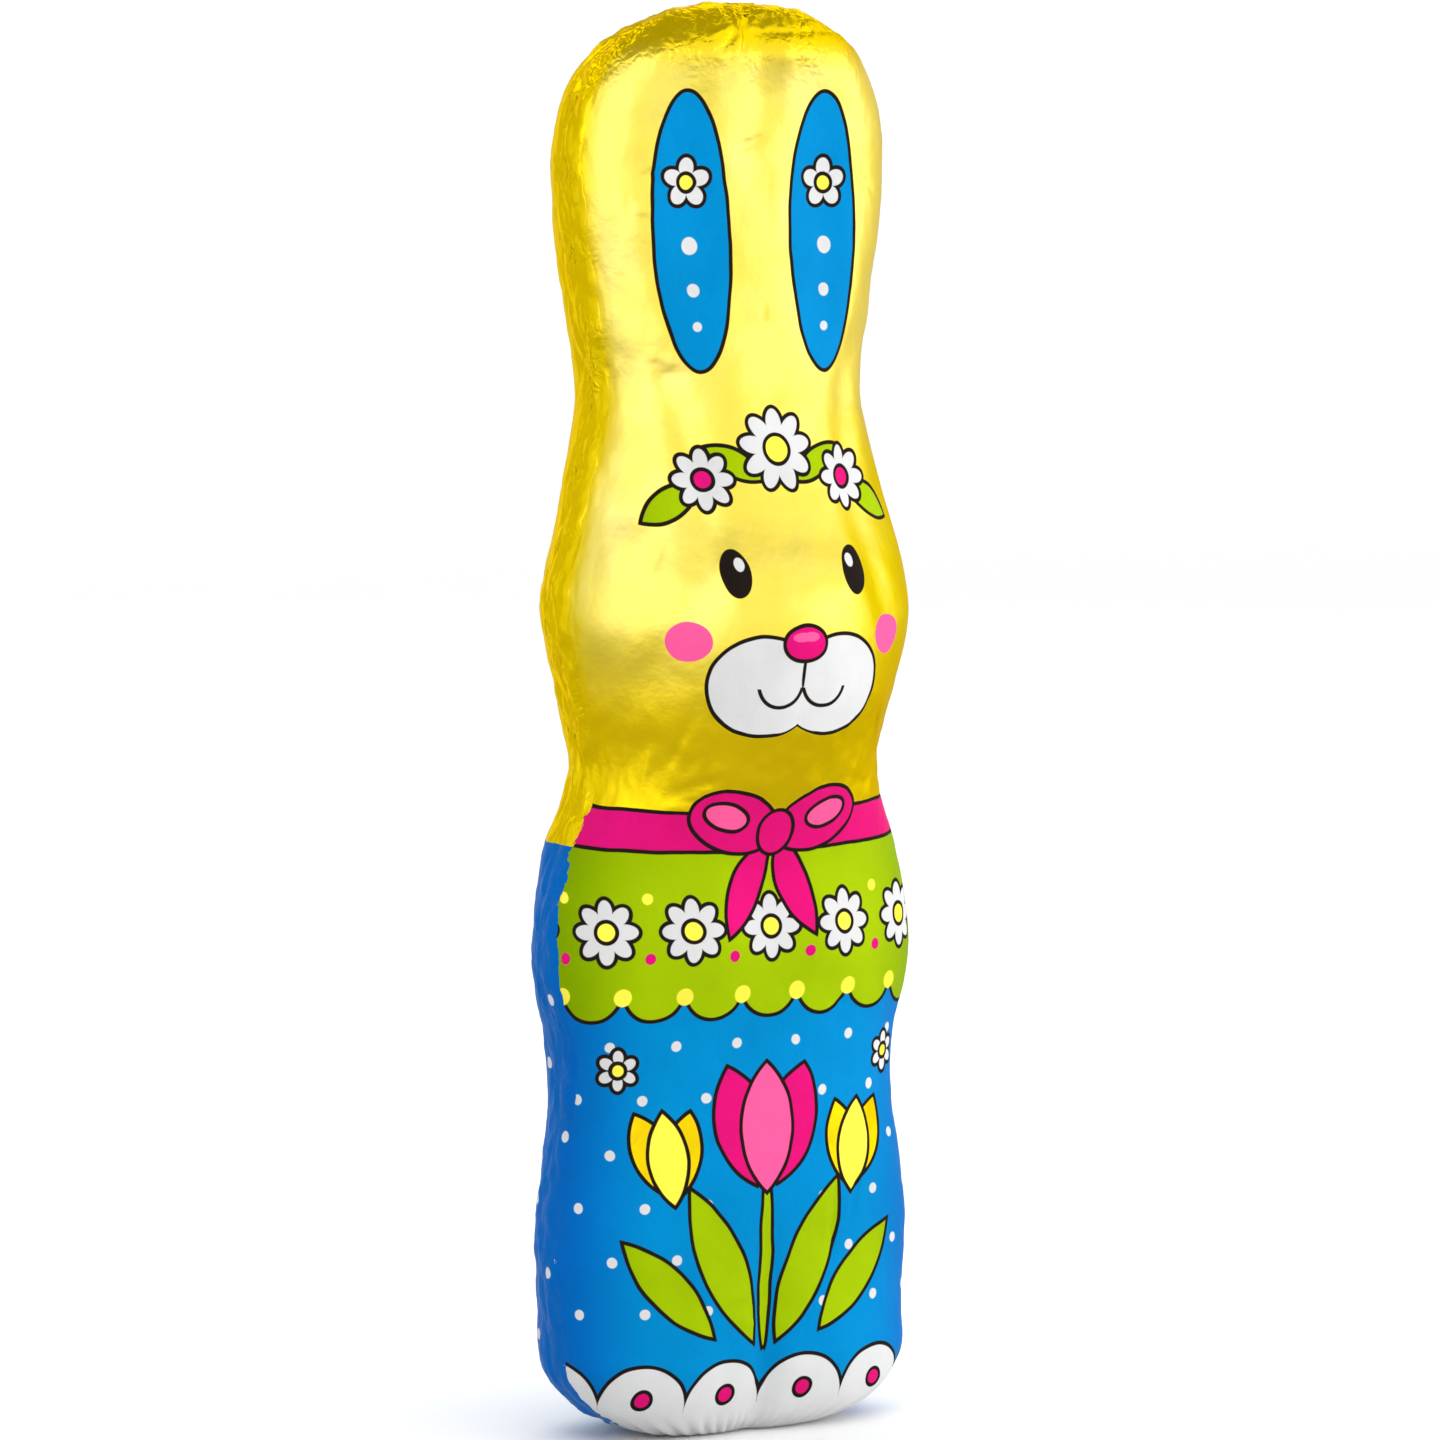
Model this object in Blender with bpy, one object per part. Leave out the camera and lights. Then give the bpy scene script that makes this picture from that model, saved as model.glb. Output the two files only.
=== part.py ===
# Foil-wrapped hollow chocolate bunny, standing upright on its flat base.
# Metres, +Z up. The front faces -Y, and the plane y = 0 is the parting plane
# where the front sheet of foil meets the back sheet.

import math

import bmesh
import bpy

HEIGHT = 0.150

# Cross-sections up the body: height, half width, depth in front of the parting
# plane, depth behind it, and squareness, where 2 is an ellipse.
SECTIONS = [
    (0.0000, 0.0204, 0.0090, 0.0114, 2.5),  # soles
    (0.0100, 0.0206, 0.0092, 0.0114, 2.5),  # feet
    (0.0215, 0.0213, 0.0094, 0.0096, 2.6),  # haunches
    (0.0385, 0.0194, 0.0090, 0.0112, 2.5),  # waist
    (0.0510, 0.0216, 0.0102, 0.0100, 2.5),  # forelegs
    (0.0610, 0.0199, 0.0097, 0.0124, 2.4),  # shoulders
    (0.0700, 0.0168, 0.0130, 0.0126, 2.2),  # neck
    (0.0790, 0.0186, 0.0154, 0.0127, 2.2),  # chin
    (0.0875, 0.0202, 0.0162, 0.0128, 2.2),  # cheeks
    (0.0980, 0.0180, 0.0124, 0.0122, 2.3),  # brow
    (0.1090, 0.0154, 0.0097, 0.0130, 2.4),  # roots of the ears
    (0.1180, 0.0165, 0.0087, 0.0130, 2.5),
    (0.1300, 0.0182, 0.0078, 0.0118, 2.7),  # widest part of the ears
    (0.1500, 0.0184, 0.0078, 0.0094, 2.7),  # tips, before they are rounded
]

# The arch over the ears: how far down it starts, and how square it is.
ARCH_REACH = 0.0175
ARCH_POWER = 2.4

# The tips lean forward: how far down it starts, and by how much at the top.
LEAN_REACH = 0.014
LEAN = 0.0020

# Rounded edges: reach along the height, cut off the depth or width, and how
# round the edge is, where 1 is a straight bevel and 2 a quarter round.
TOP_FRONT_EDGE = (0.0055, 0.0052, 1.5)
TOP_BACK_EDGE = (0.0090, 0.0090, 2.0)
BASE_SIDE_EDGE = (0.0090, 0.0145, 2.0)
BASE_FRONT_EDGE = (0.0090, 0.0045, 2.0)
BASE_BACK_EDGE = (0.0090, 0.0080, 2.0)

# Moulded forms of the front, mirrored left and right:
# distance from the middle, height, half width, half height, and rise.
FRONT_FORMS = [
    (0.0000, 0.0840, 0.0115, 0.0230, 0.0010),  # face
    (0.0070, 0.0915, 0.0024, 0.0030, 0.0004),  # eyes
    (0.0000, 0.0838, 0.0028, 0.0023, 0.0005),  # nose
    (0.0048, 0.0790, 0.0044, 0.0036, 0.0006),  # cheek pads
    (0.0080, 0.1290, 0.0034, 0.0130, -0.0006),  # hollows of the ears
    (0.0000, 0.1480, 0.0022, 0.0120, -0.0007),  # valley between the ears
    (0.0075, 0.0535, 0.0046, 0.0050, 0.0006),  # forepaws
    (0.0000, 0.0340, 0.0095, 0.0090, 0.0005),  # belly
    (0.0000, 0.0050, 0.0018, 0.0130, -0.0009),  # groove between the feet
    (0.0090, 0.0080, 0.0060, 0.0050, 0.0006),  # feet
]
TAIL = (0.0000, 0.0180, 0.0050, 0.0048, 0.0014)

# A soft crease runs up each side of the face, closest to the middle at the
# brow, and the foil is puckered where its two sheets were pressed together
# along the parting plane.
CREASE = {"side": 0.0090, "brow": 0.1000, "bend": 15.0, "reach": 0.0200, "width": 0.0020, "depth": 0.0005}
PUCKER = {"depth": 0.00010, "band": 0.0040, "wave": 0.0073, "second_wave": 0.0119}

COLUMNS = 72
BODY_ROWS = 46
EDGE_ROWS = 7
TOP_ROWS = 12
TIP_LID = 0.00004  # the small lid on top has the outline found this far under it


def remove_everything():
    for thing in list(bpy.data.objects):
        bpy.data.objects.remove(thing, do_unlink=True)


def section_slopes(column):
    """Slope of one column of SECTIONS at each station, for a smooth curve."""
    slopes = []
    last = len(SECTIONS) - 1
    for index in range(last + 1):
        below = SECTIONS[max(index - 1, 0)]
        above = SECTIONS[min(index + 1, last)]
        slopes.append((above[column] - below[column]) / (above[0] - below[0]))
    return slopes


SLOPES = {column: section_slopes(column) for column in range(1, 5)}


def read_section(column, z):
    """Hermite curve through one column of SECTIONS at height z."""
    index = 0
    while index < len(SECTIONS) - 2 and SECTIONS[index + 1][0] < z:
        index += 1
    low = SECTIONS[index]
    high = SECTIONS[index + 1]
    span = high[0] - low[0]
    t = (z - low[0]) / span
    slopes = SLOPES[column]
    value = (2 * t**3 - 3 * t**2 + 1) * low[column]
    value += (t**3 - 2 * t**2 + t) * span * slopes[index]
    value += (3 * t**2 - 2 * t**3) * high[column]
    value += (t**3 - t**2) * span * slopes[index + 1]
    return value


def edge_cut(distance, edge):
    """What a rounded edge takes off at this distance from the end."""
    reach, cut, power = edge
    share = min(max(1 - distance / reach, 0), 1)
    return cut * (1 - (1 - share**power) ** (1 / power))


def section_sizes(z):
    """Half width, front depth, back depth and squareness at height z."""
    z = min(z, HEIGHT - TIP_LID)
    width, front, back, squareness = (read_section(column, z) for column in range(1, 5))
    arch = min(max((z - (HEIGHT - ARCH_REACH)) / ARCH_REACH, 0), 1)
    width *= (1 - arch**ARCH_POWER) ** (1 / ARCH_POWER)
    width -= edge_cut(z, BASE_SIDE_EDGE)
    front -= edge_cut(HEIGHT - z, TOP_FRONT_EDGE) + edge_cut(z, BASE_FRONT_EDGE)
    back -= edge_cut(HEIGHT - z, TOP_BACK_EDGE) + edge_cut(z, BASE_BACK_EDGE)
    return width, front, back, squareness


def form_rise(form, x, z):
    """Height of one soft moulded form, mirrored left and right."""
    side, centre, half_width, half_height, rise = form
    across = (abs(x) - side) / half_width
    along = (z - centre) / half_height
    return rise * math.exp(-(across**2) - along**2)


def crease_depth(x, z):
    """The soft crease beside the face, fading out at both its ends."""
    from_brow = z - CREASE["brow"]
    side = CREASE["side"] + CREASE["bend"] * from_brow**2
    across = (abs(x) - side) / CREASE["width"]
    along = from_brow / CREASE["reach"]
    return CREASE["depth"] * math.exp(-(across**2) - along**4)


def pucker(x, y, z):
    """Shallow ripples of the foil close to the parting plane."""
    path = z + 0.8 * abs(x)
    ripple = math.sin(2 * math.pi * path / PUCKER["wave"])
    ripple += math.sin(2 * math.pi * path / PUCKER["second_wave"] + math.copysign(1.3, x))
    return PUCKER["depth"] * ripple * math.exp(-((y / PUCKER["band"]) ** 2))


def surface_point(angle, z):
    """A point of the foil at this angle round the section and this height."""
    width, front, back, squareness = section_sizes(z)
    cosine = math.cos(angle)
    sine = math.sin(angle)
    depth = front if sine < 0 else back
    x = width * math.copysign(abs(cosine) ** (2 / squareness), cosine)
    y = depth * math.copysign(abs(sine) ** (2 / squareness), sine)
    facing = abs(y) / depth
    if sine < 0:
        rise = sum(form_rise(form, x, z) for form in FRONT_FORMS)
        y -= facing * (rise - crease_depth(x, z))
    else:
        y += facing * form_rise(TAIL, x, z)
    nearest_end = min(z, HEIGHT - z)
    fade = nearest_end / (nearest_end + PUCKER["band"])
    swell = 1 + pucker(x, y, z) * fade / max(math.hypot(x, y), PUCKER["band"])
    lean = LEAN * min(max(1 - (HEIGHT - z) / LEAN_REACH, 0), 1) ** 2
    return (x * swell, y * swell - lean, z)


def row_heights():
    """Heights of the rings, closer together where the edges are rounded."""
    base_end = BASE_SIDE_EDGE[0]
    top_start = HEIGHT - ARCH_REACH
    heights = []
    for row in range(EDGE_ROWS):
        heights.append(base_end * (1 - math.cos(math.pi / 2 * row / EDGE_ROWS)))
    for row in range(BODY_ROWS):
        heights.append(base_end + (top_start - base_end) * row / BODY_ROWS)
    for row in range(TOP_ROWS):
        share = math.sin(math.pi / 2 * row / TOP_ROWS)
        heights.append(top_start + ARCH_REACH * share)
    heights.append(HEIGHT)
    return heights


def make_foil_material():
    material = bpy.data.materials.new("printed_foil")
    material.use_nodes = True
    shader = material.node_tree.nodes["Principled BSDF"]
    shader.inputs["Base Color"].default_value = (0.86, 0.70, 0.02, 1)
    shader.inputs["Metallic"].default_value = 0.7
    shader.inputs["Roughness"].default_value = 0.3
    return material


def make_bunny():
    """One closed solid: rings of points joined by quads, with two flat lids."""
    mesh = bmesh.new()
    rings = []
    for z in row_heights():
        ring = []
        for column in range(COLUMNS):
            angle = 2 * math.pi * (column + 0.5) / COLUMNS
            ring.append(mesh.verts.new(surface_point(angle, z)))
        rings.append(ring)
    for lower, upper in zip(rings, rings[1:]):
        for column in range(COLUMNS):
            after = (column + 1) % COLUMNS
            mesh.faces.new((lower[column], lower[after], upper[after], upper[column]))
    mesh.faces.new(list(reversed(rings[0])))
    mesh.faces.new(rings[-1])
    data = bpy.data.meshes.new("foil_wrapped_bunny")
    mesh.to_mesh(data)
    mesh.free()
    data.shade_smooth()
    data.set_sharp_from_angle(angle=math.radians(50))
    data.materials.append(make_foil_material())
    bunny = bpy.data.objects.new("foil_wrapped_bunny", data)
    bpy.context.scene.collection.objects.link(bunny)
    return bunny


remove_everything()
make_bunny()
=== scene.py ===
import math

import bmesh
import bpy
import numpy as np
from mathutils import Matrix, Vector


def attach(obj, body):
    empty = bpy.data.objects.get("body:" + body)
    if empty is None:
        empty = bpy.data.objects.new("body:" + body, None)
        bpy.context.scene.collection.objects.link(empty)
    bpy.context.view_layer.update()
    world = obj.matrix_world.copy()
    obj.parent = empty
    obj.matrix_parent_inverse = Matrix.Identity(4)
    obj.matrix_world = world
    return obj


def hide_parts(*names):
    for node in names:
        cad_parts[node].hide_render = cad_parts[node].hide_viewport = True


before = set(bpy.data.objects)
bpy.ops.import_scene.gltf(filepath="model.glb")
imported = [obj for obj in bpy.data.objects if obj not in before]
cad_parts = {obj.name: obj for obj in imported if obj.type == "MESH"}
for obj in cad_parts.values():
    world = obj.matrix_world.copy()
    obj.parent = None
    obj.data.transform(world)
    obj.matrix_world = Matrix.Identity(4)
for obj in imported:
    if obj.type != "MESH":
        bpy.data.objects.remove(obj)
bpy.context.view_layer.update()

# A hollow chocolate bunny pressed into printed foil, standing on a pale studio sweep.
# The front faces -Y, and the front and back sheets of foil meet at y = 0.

millimetre = 0.001

# the moulded form, in metres
bunnyForm = {
    "height": 0.150,
    # height, half width, depth in front, depth behind, squareness of the section
    "sections": [
        (0.0000, 0.0204, 0.0090, 0.0114, 2.5),  # soles
        (0.0100, 0.0206, 0.0092, 0.0114, 2.5),  # feet
        (0.0215, 0.0213, 0.0094, 0.0096, 2.6),  # haunches
        (0.0385, 0.0194, 0.0090, 0.0112, 2.5),  # waist
        (0.0510, 0.0216, 0.0102, 0.0100, 2.5),  # forelegs
        (0.0610, 0.0199, 0.0097, 0.0124, 2.4),  # shoulders
        (0.0700, 0.0168, 0.0130, 0.0126, 2.2),  # neck
        (0.0790, 0.0186, 0.0154, 0.0127, 2.2),  # chin
        (0.0875, 0.0202, 0.0162, 0.0128, 2.2),  # cheeks
        (0.0980, 0.0180, 0.0124, 0.0122, 2.3),  # brow
        (0.1090, 0.0154, 0.0097, 0.0130, 2.4),  # roots of the ears
        (0.1180, 0.0165, 0.0087, 0.0130, 2.5),
        (0.1300, 0.0182, 0.0078, 0.0118, 2.7),  # widest part of the ears
        (0.1500, 0.0184, 0.0078, 0.0094, 2.7),  # tips, before they are rounded
    ],
    "archReach": 0.0175,
    "archPower": 2.4,
    "tipLid": 0.00004,
    "toeReach": 0.0075,  # the toes make the front squarer near the floor
    "toeSquareness": 1.6,
    "leanReach": 0.014,
    "lean": 0.0020,
    # rounded edges: reach along the height, cut, and how round
    "topFrontEdge": (0.0055, 0.0052, 1.5),
    "topBackEdge": (0.0090, 0.0090, 2.0),
    "baseSideEdge": (0.0090, 0.0145, 2.0),
    "baseFrontEdge": (0.0090, 0.0045, 2.0),
    "baseBackEdge": (0.0090, 0.0080, 2.0),
    # distance from the middle, height, half width, half height, rise
    "frontForms": [
        (0.0000, 0.0840, 0.0115, 0.0230, 0.0010),  # face
        (0.0070, 0.0915, 0.0024, 0.0030, 0.0004),  # eyes
        (0.0000, 0.0838, 0.0028, 0.0023, 0.0005),  # nose
        (0.0048, 0.0790, 0.0044, 0.0036, 0.0006),  # cheek pads
        (0.0080, 0.1290, 0.0034, 0.0130, -0.0006),  # hollows of the ears
        (0.0000, 0.1480, 0.0022, 0.0120, -0.0007),  # valley between the ears
        (0.0075, 0.0535, 0.0046, 0.0050, 0.0006),  # forepaws
        (0.0000, 0.0340, 0.0095, 0.0090, 0.0005),  # belly
        (0.0000, 0.0050, 0.0018, 0.0130, -0.0009),  # groove between the feet
        (0.0090, 0.0080, 0.0060, 0.0050, 0.0006),  # feet
    ],
    "tail": (0.0000, 0.0180, 0.0050, 0.0048, 0.0014),
    # a soft crease up each side of the face
    "crease": {
        "side": 0.0090,
        "brow": 0.1000,
        "bend": 15.0,
        "reach": 0.0200,
        "width": 0.0020,
        "depth": 0.0005,
    },
}


def curveThrough(column, z):
    # a smooth curve through one column of the sections
    rows = np.array(bunnyForm["sections"])
    heights = rows[:, 0]
    values = rows[:, column]
    last = len(heights) - 1
    below = np.maximum(np.arange(last + 1) - 1, 0)
    above = np.minimum(np.arange(last + 1) + 1, last)
    slopes = (values[above] - values[below]) / (heights[above] - heights[below])
    low = np.clip(np.searchsorted(heights, z) - 1, 0, last - 1)
    span = heights[low + 1] - heights[low]
    t = (z - heights[low]) / span
    result = (2 * t**3 - 3 * t**2 + 1) * values[low]
    result = result + (t**3 - 2 * t**2 + t) * span * slopes[low]
    result = result + (3 * t**2 - 2 * t**3) * values[low + 1]
    return result + (t**3 - t**2) * span * slopes[low + 1]


def edgeCut(distance, edge):
    reach, cut, power = edge
    share = np.clip(1 - distance / reach, 0, 1)
    return cut * (1 - (1 - share**power) ** (1 / power))


def sectionSizes(z):
    top = bunnyForm["height"]
    z = np.minimum(z, top - bunnyForm["tipLid"])
    width, front, back, squareness = (curveThrough(column, z) for column in range(1, 5))
    arch = np.clip((z - top + bunnyForm["archReach"]) / bunnyForm["archReach"], 0, 1)
    width = width * (1 - arch ** bunnyForm["archPower"]) ** (1 / bunnyForm["archPower"])
    width = width - edgeCut(z, bunnyForm["baseSideEdge"])
    front = front - edgeCut(top - z, bunnyForm["topFrontEdge"]) - edgeCut(z, bunnyForm["baseFrontEdge"])
    back = back - edgeCut(top - z, bunnyForm["topBackEdge"]) - edgeCut(z, bunnyForm["baseBackEdge"])
    return width, front, back, squareness


def formRise(form, x, z):
    side, centre, halfWidth, halfHeight, rise = form
    return rise * np.exp(-(((np.abs(x) - side) / halfWidth) ** 2) - ((z - centre) / halfHeight) ** 2)


def creaseDepth(x, z):
    crease = bunnyForm["crease"]
    fromBrow = z - crease["brow"]
    across = (np.abs(x) - crease["side"] - crease["bend"] * fromBrow**2) / crease["width"]
    return crease["depth"] * np.exp(-(across**2) - (fromBrow / crease["reach"]) ** 4)


def bunnySurface(angle, z):
    # points at these angles round the section, where -pi/2 is the middle of the front
    width, front, back, squareness = sectionSizes(z)
    cosine = np.cos(angle)
    sine = np.sin(angle)
    isFront = sine < 0
    toes = bunnyForm["toeSquareness"] * np.exp(-((z / bunnyForm["toeReach"]) ** 2))
    squareness = squareness + np.where(isFront, toes, 0)
    depth = np.where(isFront, front, back)
    x = width * np.sign(cosine) * np.abs(cosine) ** (2 / squareness)
    y = depth * np.sign(sine) * np.abs(sine) ** (2 / squareness)
    facing = np.abs(y) / depth
    rise = sum(formRise(form, x, z) for form in bunnyForm["frontForms"]) - creaseDepth(x, z)
    y = np.where(isFront, y - facing * rise, y + facing * formRise(bunnyForm["tail"], x, z))
    tip = np.clip(1 - (bunnyForm["height"] - z) / bunnyForm["leanReach"], 0, 1)
    return np.stack([x, y - bunnyForm["lean"] * tip**2, x * 0 + z], axis=-1)


# the foil wrap: how finely it is divided, and how close together its columns stand at the seam
foilWrap = {
    "columns": 148,  # on each sheet
    "seamCrowding": 0.35,
    "baseRows": 22,
    "bodyRows": 230,
    "topRows": 56,
    "lidRings": 6,
    "measuringSteps": 720,  # an even number, across one sheet
    "mapMargin": 1.04,  # room beside the sheets on the flat map
    "mapEdge": 0.002,  # and at both its ends
}

# the front sheet is parted at these heights, in millimetres, and each part draws only the print that it shows
partEdges = [11.5, 45.0, 69.0, 96.5, 110.0]


def ringHeights():
    base = bunnyForm["baseSideEdge"][0]
    reach = bunnyForm["archReach"]
    top = bunnyForm["height"] - reach
    baseRows, bodyRows, topRows = (foilWrap[rows] for rows in ("baseRows", "bodyRows", "topRows"))
    low = base * (1 - np.cos(np.pi / 2 * np.arange(baseRows) / baseRows))
    middle = base + (top - base) * np.arange(bodyRows) / bodyRows
    high = top + reach * np.sin(np.pi / 2 * np.arange(topRows + 1) / topRows)
    return np.concatenate([low, middle, high])


def sheetRow(z, fromAngle):
    # one row of one sheet, evenly spaced along the foil but closer together at the seams
    steps = foilWrap["measuringSteps"]
    fine = np.linspace(fromAngle, fromAngle + np.pi, steps + 1)
    lengths = np.linalg.norm(np.diff(bunnySurface(fine, z), axis=0), axis=1)
    along = np.concatenate([[0], np.cumsum(lengths)])
    middle = along[steps // 2]
    t = np.linspace(-1, 1, foilWrap["columns"] + 1)
    share = t + foilWrap["seamCrowding"] * np.sin(np.pi * t) / np.pi
    place = share * np.where(share < 0, middle, along[-1] - middle)
    return bunnySurface(np.interp(middle + place, along, fine), z), place


def withLids(rows, baseCentre=0, topCentre=0):
    # adds the rows that close the small flat spots at the bottom and the top
    scales = np.arange(1, foilWrap["lidRings"] + 1) / (foilWrap["lidRings"] + 1)
    base = [baseCentre + scale * (rows[0] - baseCentre) for scale in scales]
    top = [topCentre + scale * (rows[-1] - topCentre) for scale in scales[::-1]]
    return np.array(base + rows + top)


def withPoles(rows):
    # one value for each point, the two in the middle of the lids last
    return np.append(rows.ravel(), [0, 0])


def otherSheet(place, bothHalves):
    # the same place seen from the middle of the other sheet
    return np.sign(place) * (np.abs(place) - bothHalves)


def makeWrapMesh():
    rings = []
    frontPlaces = []
    backPlaces = []
    for z in ringHeights():
        front, across = sheetRow(z, -np.pi)
        back, behind = sheetRow(z, 0)
        bothHalves = across[-1] - behind[0]
        behind = behind[1:-1]
        rings.append(np.concatenate([front, back[1:-1]]))
        frontPlaces.append(np.concatenate([across, otherSheet(behind, bothHalves)]))
        backPlaces.append(np.concatenate([otherSheet(across, bothHalves), behind]))
    poles = [(0, 0, rings[0][0, 2]), (0, -bunnyForm["lean"], rings[-1][0, 2])]
    rings = withLids(rings, *np.array(poles))
    front = withLids(frontPlaces)
    back = withLids(backPlaces)
    count, columns = front.shape
    corner = np.arange(count * columns).reshape(count, columns)
    after = np.roll(corner, -1, axis=1)
    faces = np.stack([corner[:-1], after[:-1], after[1:], corner[1:]], axis=-1).reshape(-1, 4).tolist()
    faces += [(count * columns, after[0, k], corner[0, k]) for k in range(columns)]
    faces += [(count * columns + 1, corner[-1, k], after[-1, k]) for k in range(columns)]
    vertices = np.concatenate([rings.reshape(-1, 3), poles])
    mesh = bpy.data.meshes.new("foilWrap")
    mesh.from_pydata(vertices.tolist(), [], faces)
    seamGap = withPoles(np.abs(np.abs(front) - np.abs(front[:, :1])))
    for name, across in (("frontPlace", front), ("backPlace", back)):
        # where each point lies on a flat sheet, in millimetres: across from its middle, up, and from its edge
        places = np.stack([withPoles(across), vertices[:, 2], seamGap], axis=-1) / millimetre
        mesh.attributes.new(name, "FLOAT_VECTOR", "POINT").data.foreach_set("vector", places.ravel())
    unwrapSheets(mesh, rings, front, back)
    return mesh


def readAll(parts, name):
    values = np.empty(len(parts), dtype=int)
    parts.foreach_get(name, values)
    return values


def unwrapSheets(mesh, rings, front, back):
    # the front sheet takes the left half of the map and the back sheet the right half
    count, columns = front.shape
    half = foilWrap["columns"]
    climb = np.linalg.norm(np.diff(rings, axis=0), axis=2).mean(axis=1)
    rise = np.concatenate([[0], np.cumsum(climb)]) + climb[0]
    tall = rise[-1] + climb[-1]
    wide = foilWrap["mapMargin"] * max(np.abs(front[:, : half + 1]).max(), np.abs(back[:, half:]).max())
    corners = readAll(mesh.loops, "vertex_index")
    sizes = readAll(mesh.polygons, "loop_total")
    faceOfCorner = np.repeat(np.arange(len(sizes)), sizes)
    faceRow = np.repeat(np.append(np.arange(count - 1), [0, count - 1]), columns)
    onBack = np.arange(len(sizes)) % columns >= half
    part = np.where(onBack, len(partEdges) + 1, np.searchsorted(partEdges, rings[faceRow, 0, 2] / millimetre))
    mesh.attributes.new("sheetPart", "INT", "FACE").data.foreach_set("value", part.astype(np.int32))
    frontHalf = 0.25 + 0.25 * withPoles(front)[corners] / wide
    backHalf = 0.75 + 0.25 * withPoles(back)[corners] / wide
    u = np.where(onBack[faceOfCorner], backHalf, frontHalf)
    edge = foilWrap["mapEdge"]
    v = edge + (1 - 2 * edge) * np.append(np.repeat(rise, columns), [0, tall])[corners] / tall
    mesh.uv_layers.new(name="OFBake").data.foreach_set("uv", np.stack([u, v], axis=-1).ravel())


def arithmetic(operation, swapped=False):
    def combine(self, other):
        return calc(operation, other, self) if swapped else calc(operation, self, other)

    return combine


# one value in a node tree, so that a sum can be written as a sum
class wire:
    def __init__(self, tree, socket):
        self.tree = tree
        self.socket = socket

    def __neg__(self):
        return self * -1.0

    def __abs__(self):
        return calc("ABSOLUTE", self)

    __add__ = arithmetic("ADD")
    __sub__ = arithmetic("SUBTRACT")
    __mul__ = arithmetic("MULTIPLY")
    __truediv__ = arithmetic("DIVIDE")
    __radd__ = __add__
    __rsub__ = arithmetic("SUBTRACT", swapped=True)
    __rmul__ = __mul__
    __rtruediv__ = arithmetic("DIVIDE", swapped=True)


def treeOf(*values):
    return next(value.tree for value in values if isinstance(value, wire))


def feed(socket, value):
    if isinstance(value, wire):
        value.tree.links.new(value.socket, socket)
    else:
        socket.default_value = value


def feedAll(node, values):
    for name, value in values.items():
        feed(node.inputs[name], value)


def addNode(tree, kind, inputs=None, **settings):
    node = tree.nodes.new(kind)
    for name, value in settings.items():
        setattr(node, name, value)
    feedAll(node, inputs or {})
    return node


def outputOf(tree, kind, output, inputs=None, **settings):
    # adds a node and takes one of its outputs
    return wire(tree, addNode(tree, kind, inputs, **settings).outputs[output])


def calc(operation, *values, clamp=False):
    inputs = dict(enumerate(values))
    return outputOf(treeOf(*values), "ShaderNodeMath", 0, inputs, operation=operation, use_clamp=clamp)


def vectorCalc(operation, *values, **named):
    inputs = {**dict(enumerate(values)), **named}
    return outputOf(treeOf(*values), "ShaderNodeVectorMath", "Vector", inputs, operation=operation)


def atLeast(value, limit):
    return calc("MAXIMUM", value, limit)


def atMost(value, limit):
    return calc("MINIMUM", value, limit)


def squared(value):
    return value * value


def length(across, up):
    return calc("SQRT", squared(across) + squared(up))


def bell(value):
    # 1 at zero, falling off smoothly on both sides
    return calc("EXPONENT", -squared(value))


def ramp(value, low, high, smooth=True):
    # climbs from 0 to 1 between low and high
    shape = "SMOOTHSTEP" if smooth else "LINEAR"
    inputs = {0: value, 1: low, 2: high}
    return outputOf(value.tree, "ShaderNodeMapRange", 0, inputs, interpolation_type=shape)


def split(vector):
    node = addNode(vector.tree, "ShaderNodeSeparateXYZ", {0: vector})
    return [wire(vector.tree, output) for output in node.outputs]


def noise(place, scale, detail=2.0, roughness=0.5, output="Fac"):
    inputs = {"Vector": place, "Scale": scale, "Detail": detail, "Roughness": roughness}
    return outputOf(place.tree, "ShaderNodeTexNoise", output, inputs)


def swing(place, size, amount):
    # sways to both sides of zero, in bumps of this size
    return (noise(place, 1.0 / size, 1.0) - 0.5) * amount * 2.0


def warped(place, scale, amount, detail=2.0):
    # the place pushed about a little, so that no pattern on it looks regular
    push = noise(place, scale, detail, output="Color")
    return vectorCalc("MULTIPLY_ADD", push, (amount, amount, amount), place)


def cellEdges(place, scale):
    # the distance to the nearest edge between cells of random shape
    inputs = {"Vector": place, "Scale": scale}
    return outputOf(place.tree, "ShaderNodeTexVoronoi", "Distance", inputs, feature="DISTANCE_TO_EDGE")


def blendValues(amount, first, second):
    return outputOf(amount.tree, "ShaderNodeMix", 0, {0: amount, 2: first, 3: second}, data_type="FLOAT")


def blendColours(amount, first, second, how="MIX"):
    inputs = {0: amount, 6: first, 7: second}
    tree = treeOf(amount, first, second)
    return outputOf(tree, "ShaderNodeMix", 2, inputs, data_type="RGBA", blend_type=how)


def newTree(name, kind, inputs, outputs):
    # an input is given by its starting value or its kind of socket, and an output by its kind
    tree = bpy.data.node_groups.new(name, kind)
    kinds = {int: "NodeSocketInt", float: "NodeSocketFloat", tuple: "NodeSocketColor"}
    for label, value in inputs.items():
        socketType = kinds.get(type(value), value)
        socket = tree.interface.new_socket(label, in_out="INPUT", socket_type=socketType)
        if socketType != value:
            socket.default_value = value
    for label, socketType in outputs.items():
        tree.interface.new_socket(label, in_out="OUTPUT", socket_type=socketType)
    start = tree.nodes.new("NodeGroupInput")
    end = tree.nodes.new("NodeGroupOutput")
    return tree, {label: wire(tree, start.outputs[label]) for label in inputs}, end


def useGroup(tree, group, values):
    node = addNode(tree, "ShaderNodeGroup", values, node_tree=group)
    return {socket.name: wire(tree, socket) for socket in node.outputs}


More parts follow.
